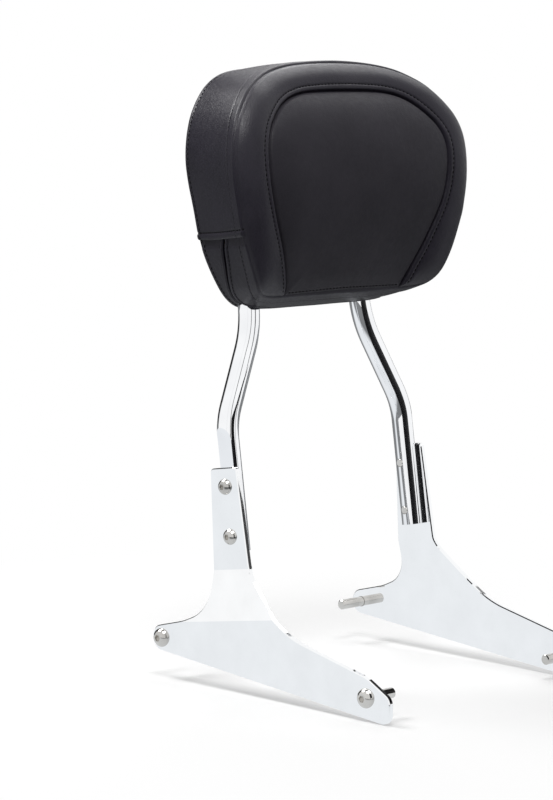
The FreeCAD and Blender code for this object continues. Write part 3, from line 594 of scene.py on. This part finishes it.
def side_point(turn, share):
    """Across, along and ahead of the pad's side. Turn runs 0 to 2 from the top's middle round and back."""
    marks = np.arange(len(front_line) + 1) / EVEN_POINTS

    def at(line):
        ring = np.concatenate([line, line[:1]])
        return np.stack([np.interp(turn % 2, marks, column) for column in ring.T], axis=-1)

    return at(rear_line) + share[..., None] * (at(front_line) - at(rear_line))


def hem_height(share):
    """How high the band's hem hangs, from the rear seam to the front one."""
    return HEM_HEIGHTS[0] + HEM_HEIGHTS[1] * share + HEM_HEIGHTS[2] * share ** 2


def turn_at_height(share, height):
    """The turn at which the pad's left side comes down to a height, for each share."""
    half_steps = np.linspace(0, 1, EVEN_POINTS + 1)
    heights = rear_half[:, 1] + np.asarray(share)[:, None] * (front_half[:, 1] - rear_half[:, 1])
    return np.array([np.interp(-level, -line, half_steps) for level, line in zip(height, heights)])


def side_surface(turns, shares, push):
    """Surface points, the way outward, flat places and running distance of the pad's side, with a relief."""
    flat = side_point(turns, shares)
    surface = on_hoop(flat[..., 2], flat[..., 0], flat[..., 1])
    normal = surface_normals(surface, False)
    away = surface - on_hoop(flat[..., 2], 0 * flat[..., 0], 0 * flat[..., 1] + FACE_CENTRE)
    if np.sum(normal * away) < 0:
        normal = -normal
    edge = np.linalg.norm(np.diff(surface, axis=1), axis=2) * 1000
    from_start = np.concatenate([0 * edge[:, :1], np.cumsum(edge, axis=1)], axis=1)
    lift = push(flat, shares, from_start, from_start[:, -1:] - from_start)
    return surface + normal * lift[..., None] * 0.001, away, flat, from_start


def seam_relief(distance, stitch, strip_height):
    """Relief beside a seam: sunk at it, a raised strip over the seam allowance, and the topstitching."""
    return (dimple(distance, 0, RIM_DEPTH, RIM_WIDTH) + dimple(distance, stitch, STITCH_DEPTH, STITCH_WIDTH)
            + raised(distance, STRIP_START, stitch - STRIP_MARGIN, strip_height))


def hem_relief(distance, stitch, end, edge, height):
    """Relief of a hem: doubled vinyl up to its stitching, turned under at the edge."""
    return (raised(distance, -3, end, height) + dimple(distance, stitch, HEM_STITCH_DEPTH, HEM_WIDTH)
            + dimple(distance, 0, edge, HEM_WIDTH))


def band_push(flat, shares, from_rear, from_front):
    """How far the band stands out of the plain side between the two seams."""
    across, along, ahead = np.moveaxis(flat, -1, 0)
    hem = hem_relief(along - hem_height(shares), HEM_STITCH, HEM_STITCH - 1, HEM_EDGE, 1.0)
    return (BAND_PUFF * np.sin(np.pi * shares) ** 0.8 + seam_relief(from_front, FRONT_STITCH, 0.9)
            + seam_relief(from_rear, REAR_STITCH, 0.6) + hem + waves(across + ahead, along, 0.3, 27, 2.2)
            + BAND_PROUD)


band_row = 0.5 - 0.5 * np.cos(np.linspace(0, math.pi, BAND_COLUMNS))
ends_close = np.linspace(-1, 1, BAND_ROWS)
ends_close = 0.8 * ends_close + 0.2 * np.sin(ends_close * math.pi / 2)
band_turns = ends_close[:, None] * turn_at_height(band_row, hem_height(band_row))
band_shares = np.tile(band_row, (BAND_ROWS, 1))
band_grid, band_away, band_flat, band_run = side_surface(band_turns, band_shares, band_push)
# Painted shade: the border's grain and gloss, a tenth darker, worn by the band, the lower pieces and the
# cover.
band_vinyl = vinyl("band_vinyl", BAND_TONES_WITH_PAINTED_SHADE, 0.34, 0.44, 1150.0, 0.2)
band, band_normal = sewn_skin("side_band", band_grid, band_away, BAND_SKIN, False, band_vinyl)
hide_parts("pad_side_band")
band_back = band_run - band_run[:, -1:]
stitch_row("front_seam_stitching", *line_at(band_grid, band_normal, band_back, -FRONT_STITCH))
stitch_row("rear_seam_stitching", *line_at(band_grid, band_normal, band_run, REAR_STITCH))
above_hem = band_flat[..., 1] - hem_height(band_shares)
for hand, rows in (("left", slice(-1, -1 - HEM_ROWS, -1)), ("right", slice(0, HEM_ROWS))):
    end = [np.swapaxes(part[rows], 0, 1) for part in (band_grid, band_normal, above_hem)]
    hem_line, hem_up = line_at(*end, HEM_STITCH)
    stitch_row(hand + "_hem_stitching", hem_line[3:-3], hem_up[3:-3])

# The lower pieces. Under the hem the side is open along a slot, so that the cover slips down over the hoop.
# A front lower band ahead of the slot and a rear flap behind it, of the same vinyl, are hemmed along it.
SLOT_LINE = [(40, 1.0), (62, 3.0), (75, 9.5), (85, 17.0), (100, 25.5), (112, 29.5), (124, 31.5)]
SLOT_HALF = 2.4
SLOT_STEPS = 201
LEG_SPACING = 69.3
LEG_ROOM = 8.2
LEG_REACH = 11.0
LEG_TOP = 80
LEG_TAPER = 12
SLOT_HEM = 5.0
SLOT_EDGE = 1.3
TUCK = 3.0
TUCK_DEPTH = 2.2
TUCK_START = 8
TUCK_TAPER = 7
LOWER_ROWS = 300
LOWER_BAND_COLUMNS = 66
FLAP_COLUMNS = 40
UPPER_PUFF = 2.0
LOWER_PUFF = 4.8
PUFF_TOP = 115
PUFF_TAPER = 35
LOWER_SKIN = 0.0014


def slot_half(across, along):
    """Half the slot's width: it opens where the leg comes out at the bottom."""
    near_leg = np.exp(-((np.abs(across) - LEG_SPACING) / LEG_REACH) ** 4)
    low = np.clip((LEG_TOP - along) / LEG_TAPER, 0, 1)
    return SLOT_HALF + LEG_ROOM * near_leg * low


def lower_piece(front, columns):
    """Turns and shares of a lower piece's rows and columns, between the slot and its seam."""
    start = float(turn_at_height([0.5], [hem_height(0.5) + TUCK])[0])
    turns = start + (2 - 2 * start) * np.linspace(0, 1, LOWER_ROWS)
    shares = np.linspace(0, 1, SLOT_STEPS)
    slot_at = np.zeros(LOWER_ROWS)
    half_at = np.zeros(LOWER_ROWS)
    for row, turn in enumerate(turns):
        points = side_point(np.full(SLOT_STEPS, turn), shares)
        gap = points[:, 2] - np.interp(points[:, 1], *np.array(SLOT_LINE).T)
        slot_at[row] = np.interp(0, gap, shares)
        middle = side_point(np.array([turn]), slot_at[row:row + 1])[0]
        half_at[row] = slot_half(middle[0], middle[1]) / (points[-1, 2] - points[0, 2])
    half_at = averaged(half_at, "edge")
    ease = 0.5 - 0.5 * np.cos(np.linspace(0, math.pi, columns))
    if front:
        low_share = np.clip(slot_at + half_at, 0, 0.98)[:, None]
        part = low_share + (1 - low_share) * ease
    else:
        part = np.clip(slot_at - half_at, 0.03, 1)[:, None] * ease
    return np.tile(turns[:, None], (1, columns)), part


def lower_push(front):
    """How far a lower piece stands out of the plain side, its top tucked in under the band's hem."""
    def push(flat, shares, from_start, from_end):
        across, along, ahead = np.moveaxis(flat, -1, 0)
        from_slot, from_seam = (from_start, from_end) if front else (from_end, from_start)
        tuck = -TUCK_DEPTH * np.clip((along - hem_height(shares) + TUCK_START) / TUCK_TAPER, 0, 1)
        hem = hem_relief(from_slot, SLOT_HEM, SLOT_HEM - 0.8, SLOT_EDGE, 0.9)
        seam = seam_relief(from_seam, FRONT_STITCH if front else REAR_STITCH, 0.7)
        belly = UPPER_PUFF + (LOWER_PUFF - UPPER_PUFF) * np.clip((PUFF_TOP - along) / PUFF_TAPER, 0, 1)
        return (belly * np.sin(np.pi * shares ** 1.35) + tuck + hem + seam
                + waves(across, along + ahead, 0.2, 21, 0.9))
    return push


lower_grid, lower_away, _, lower_run = side_surface(*lower_piece(True, LOWER_BAND_COLUMNS), lower_push(True))
lower_band, lower_normal = sewn_skin("front_lower_band", lower_grid, lower_away, LOWER_SKIN, False,
                                     band_vinyl)
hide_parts("pad_front_lower_band")
flap_grid, flap_away, _, flap_run = side_surface(*lower_piece(False, FLAP_COLUMNS), lower_push(False))
flap, flap_normal = sewn_skin("rear_flap", flap_grid, flap_away, LOWER_SKIN, False, band_vinyl)
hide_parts("pad_rear_flap")
in_view = slice(8, -8)
for name, grid, normal, offsets, place in (
        ("lower_seam_stitching", lower_grid, lower_normal, lower_run - lower_run[:, -1:], -FRONT_STITCH),
        ("front_slot_stitching", lower_grid, lower_normal, lower_run, SLOT_HEM),
        ("flap_slot_stitching", flap_grid, flap_normal, flap_run - flap_run[:, -1:], -SLOT_HEM),
        ("flap_seam_stitching", flap_grid, flap_normal, flap_run, REAR_STITCH)):
    line, up = line_at(grid, normal, offsets, place)
    stitch_row(name, line[in_view], up[in_view])

# The foam. One block of dark grey open-cell foam, cut to the cover's form a little inside the sewn pieces and
# glued to the front of the board. It gives the panel its crown and fills the roll.
FOAM_TONES = (0.03, 0.03, 0.032), (0.09, 0.09, 0.095)
FOAM_COLUMNS = 40
FOAM_BACK = 21.0
FOAM_INSET = 4.5
BACK_TAPER = 0.3
foam_finish = new_finish("open_cell_foam", 0.0, 0.2, 0.95)
cells = texture(foam_finish, "Voronoi", 900.0).outputs["Distance"]
tint(foam_finish, cells, FOAM_TONES)
relief(foam_finish, (cells, 0.6, 0.0006))


def foam_depth(across, along, reach):
    """How far ahead the foam's face stands, under the panel and, further out, under the border."""
    out = np.clip((rim_reach - reach) / np.maximum(rim_reach - panel_reach, 1.0), 0, 1)
    under_border = rim_depth * (1 - out) + panel_edge * out
    return np.minimum(foam_form(across, along), under_border) - FOAM_INSET


def foam_back(across, along, reach):
    """The foam's flat back, against the board."""
    return FOAM_BACK + 0 * reach


foam_shares = np.sin(np.linspace(NEAR_CENTRE, math.pi / 2, FOAM_COLUMNS))
rear_reach = at_angle(face_angles, by_angle(rear_line))[0]
back_reach = rear_reach + (rim_reach - rear_reach) * BACK_TAPER - FOAM_INSET
foam_grid = np.concatenate([
    face_grid(face_angles, foam_shares, 0, rim_reach - FOAM_INSET, foam_depth),
    face_grid(face_angles, (1.0, 0.5, 0.001), 0, back_reach, foam_back)], axis=1)
foam, _ = sewn_skin("foam_block", foam_grid, AHEAD, 0.0, True, foam_finish)
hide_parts("pad_foam")

# The rear cover. One flat piece of the same vinyl, slightly crowned by what is behind it, and sewn in at the
# rear seam. It closes the pad at the back.
COVER_ROWS = 360
COVER_COLUMNS = 40
COVER_SKIN = 0.0014
COVER_CROWN = 4.0
CROWN_RISE = 18
COVER_FURROW = 1.2
cover_angles = np.linspace(0, 2 * math.pi, COVER_ROWS, endpoint=False)
cover_reach = at_angle(cover_angles, by_angle(rear_line))[0]


def cover_depth(across, along, reach):
    """How far ahead the cover lies: behind the rear seam by its crown, less a furrow at the seam."""
    from_edge = cover_reach - reach
    crown = COVER_CROWN * np.clip(from_edge / CROWN_RISE, 0, 1) ** 0.5
    return REAR_DEPTH - crown - dimple(from_edge, 0, COVER_FURROW, 1.0) - waves(across, along, 0.3, 35, 3.1)


cover_shares = np.sin(np.linspace(NEAR_CENTRE, math.pi / 2, COVER_COLUMNS))
cover_grid = face_grid(cover_angles, cover_shares, 0, cover_reach, cover_depth)
cover, _ = sewn_skin("rear_cover", cover_grid, -AHEAD, COVER_SKIN, True, band_vinyl)
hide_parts("pad_rear_cover", "pad_rear_piping", "pad_front_welt")

# The camera. It stands where the photograph was taken from, to the right and ahead of the object and a little
# above it, with a long lens.
CAMERA_PLACE = (1.9258, -1.8795, 0.5067)
CAMERA_BACK = (0.70867, -0.69640, 0.11320)
CAMERA_LENS = 135.0
CAMERA_SENSOR = 36.0
CAMERA_FAR = 60.0
scene = bpy.context.scene
camera_data = bpy.data.cameras.new("camera")
camera_data.lens = CAMERA_LENS
camera_data.sensor_width = CAMERA_SENSOR
camera_data.clip_end = CAMERA_FAR
camera = bpy.data.objects.new("camera", camera_data)
camera.location = CAMERA_PLACE
camera.rotation_mode = "QUATERNION"
camera.rotation_quaternion = Vector(CAMERA_BACK).to_track_quat("Z", "Y")
scene.collection.objects.link(camera)
scene.camera = camera
scene.view_settings.view_transform = "Standard"

# The floor. A plain pale floor at the object's lowest point, painted matt, which for the camera fades to
# white away from the object. In the chrome it shows grey, with a bright strip in front of the plates.
FLOOR_SIZE = 14.0
FLOOR_PLACE = (0.12, 0.0)
FLOOR_GAP = 0.0005
FLOOR_GREY = (0.58, 0.58, 0.58)
FLOOR_IN_CHROME = (0.86, 0.885, 0.91)
FLOOR_FADE = (0.2, 0.7)
STRIP_SIDE = (-0.696, 0.709, 0)
STRIP_EDGE = (0.24, 0.5)
WHITE = (1, 1, 1)


def glow(tree, kind, colour, strength=1.0):
    """An even light of its own, on a surface or all round."""
    node = tree.nodes.new("ShaderNode" + kind)
    node.inputs["Color"].default_value = (*colour, 1)
    node.inputs["Strength"].default_value = strength
    return node


def worked_out(tree, kind, operation, *values):
    """The result of one sum on sockets or plain numbers."""
    node = tree.nodes.new("ShaderNode" + kind)
    node.operation = operation
    for socket, value in zip(node.inputs, values):
        if isinstance(value, bpy.types.NodeSocket):
            tree.links.new(value, socket)
        else:
            socket.default_value = value
    return node.outputs["Value"]


def mixed(tree, share, first, second):
    """The first shader where the share is 0 and the second where it is 1."""
    node = tree.nodes.new("ShaderNodeMixShader")
    for socket, source in zip(node.inputs, (share, first, second)):
        tree.links.new(source, socket)
    return node.outputs[0]


floor_finish = bpy.data.materials.new("studio_floor")
floor_finish.use_nodes = True
tree = floor_finish.node_tree
tree.nodes.clear()
matt = tree.nodes.new("ShaderNodeBsdfDiffuse")
matt.inputs["Color"].default_value = (*FLOOR_GREY, 1)
white = glow(tree, "Emission", WHITE)
in_chrome = glow(tree, "Emission", FLOOR_IN_CHROME)
place = tree.nodes.new("ShaderNodeTexCoord").outputs["Object"]
away = spread(tree, worked_out(tree, "VectorMath", "LENGTH", place), 0.3, 1.0, *FLOOR_FADE)
aside = worked_out(tree, "Math", "ABSOLUTE", worked_out(tree, "VectorMath", "DOT_PRODUCT", place, STRIP_SIDE))
tree.links.new(spread(tree, aside, 1.0, 0.25, *STRIP_EDGE), in_chrome.inputs["Strength"])
path = tree.nodes.new("ShaderNodeLightPath")
seen = worked_out(tree, "Math", "MULTIPLY", path.outputs["Is Camera Ray"], away)
shown = mixed(tree, seen, matt.outputs[0], white.outputs[0])
both = mixed(tree, path.outputs["Is Glossy Ray"], shown, in_chrome.outputs[0])
tree.links.new(both, tree.nodes.new("ShaderNodeOutputMaterial").inputs["Surface"])

half_floor = FLOOR_SIZE / 2
floor_mesh = bpy.data.meshes.new("studio_floor")
floor_mesh.from_pydata([(-half_floor, -half_floor, 0), (half_floor, -half_floor, 0),
                        (half_floor, half_floor, 0), (-half_floor, half_floor, 0)], [], [(0, 1, 2, 3)])
floor_mesh.materials.append(floor_finish)
floor = bpy.data.objects.new("studio_floor", floor_mesh)
floor.location = (*FLOOR_PLACE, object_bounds()[0].z - FLOOR_GAP)
scene.collection.objects.link(floor)

# The surround. White all round for the camera, and an even soft light on the object. In the chrome it shows
# white with four dark upright flags, which draw the dark lines along the bar and the plates' rims.
SOFT_LIGHT = 0.32
SURROUND_IN_CHROME = (0.99, 0.995, 1.0)
FLAG_CORE = 0.72
# Each flag's bearing from the camera's, its half width in degrees, and how dark it is.
FLAGS = ((28.0, 3.4, 0.9), (147.0, 6.0, 0.7), (-150.0, 36.0, 0.97), (-12.0, 2.0, 0.15))
camera_bearing = math.degrees(math.atan2(CAMERA_BACK[1], CAMERA_BACK[0]))
world = bpy.data.worlds.new("studio")
scene.world = world
world.use_nodes = True
tree = world.node_tree
tree.nodes.clear()
parts = tree.nodes.new("ShaderNodeSeparateXYZ")
tree.links.new(tree.nodes.new("ShaderNodeTexCoord").outputs["Generated"], parts.inputs[0])
bearing = worked_out(tree, "Math", "ARCTAN2", parts.outputs["Y"], parts.outputs["X"])
level = 1.0
for turn, half_width, darkness in FLAGS:
    off_centre = worked_out(tree, "Math", "SUBTRACT", bearing, math.radians(camera_bearing + turn))
    edge, core = math.cos(math.radians(half_width)), math.cos(math.radians(half_width * FLAG_CORE))
    flag = spread(tree, worked_out(tree, "Math", "COSINE", off_centre), 1.0, 1.0 - darkness, edge, core)
    level = worked_out(tree, "Math", "MULTIPLY", level, flag)
in_chrome = glow(tree, "Background", SURROUND_IN_CHROME)
tree.links.new(level, in_chrome.inputs["Strength"])
path = tree.nodes.new("ShaderNodeLightPath")
shown = mixed(tree, path.outputs["Is Camera Ray"], glow(tree, "Background", WHITE, SOFT_LIGHT).outputs[0],
              glow(tree, "Background", WHITE).outputs[0])
both = mixed(tree, path.outputs["Is Glossy Ray"], shown, in_chrome.outputs[0])
tree.links.new(both, tree.nodes.new("ShaderNodeOutputWorld").inputs["Surface"])

# The lamps. Five square soft lamps aimed at the middle of the object: the key above the camera, one to the
# side, one over the top, a weak one that fills the shade and doesn't show in the chrome, and one behind.
LAMP_AIM = np.array([0.07, 0.0, 0.28])
# Each lamp's bearing from the camera's and its height in degrees, its distance, size and power.
LAMPS = (("key_lamp", 4.0, 60.0, 2.0, 0.8, 30.0), ("side_lamp", -113.0, 48.0, 2.0, 0.8, 40.0),
         ("top_lamp", 150.0, 58.0, 1.8, 1.2, 14.0), ("fill_lamp", 52.0, 24.0, 2.4, 1.6, 5.0),
         ("rear_lamp", -176.0, 42.0, 2.0, 0.8, 7.5))
for name, turn, height, distance, width, power in LAMPS:
    lamp_data = bpy.data.lights.new(name, "AREA")
    lamp_data.shape = "SQUARE"
    lamp_data.size = width
    lamp_data.energy = power
    lamp = bpy.data.objects.new(name, lamp_data)
    turn, rise = math.radians(camera_bearing + turn), math.radians(height)
    way = np.array([math.cos(rise) * math.cos(turn), math.cos(rise) * math.sin(turn), math.sin(rise)])
    lamp.location = LAMP_AIM + way * distance
    lamp.rotation_mode = "QUATERNION"
    lamp.rotation_quaternion = Vector(way).to_track_quat("Z", "Y")
    lamp.visible_glossy = name != "fill_lamp"
    scene.collection.objects.link(lamp)

# The cards. Three black cards, as a studio puts beside chrome. They show only in the chrome, where they draw
# the dark lines of the bar and of the screws, and they throw no shadow.
CARD_BLACK = (0.006, 0.006, 0.007)
CARDS = (("tall_card", ((0.2026, -0.0074, 0.02), (0.81, 0.39, 0.02),
                        (0.81, 0.39, 0.5), (0.2026, -0.0074, 0.5))),
         ("low_card", ((0.36, -0.16, 0.0), (0.36, 0.03, 0.0), (0.36, 0.03, 0.31), (0.36, -0.16, 0.31))),
         ("flat_card", ((0.33, -0.14, 0.3), (0.78, -0.14, 0.3), (0.78, 0.14, 0.3), (0.33, 0.14, 0.3))))
card_finish = new_finish("black_card", 0.0, 0.1)
card_finish.node_tree.nodes["Principled BSDF"].inputs["Base Color"].default_value = (*CARD_BLACK, 1)
for name, corners in CARDS:
    card_mesh = bpy.data.meshes.new(name)
    card_mesh.from_pydata(corners, [], [(0, 1, 2, 3)])
    card_mesh.materials.append(card_finish)
    card = bpy.data.objects.new(name, card_mesh)
    scene.collection.objects.link(card)
    card.visible_camera = card.visible_diffuse = card.visible_shadow = False
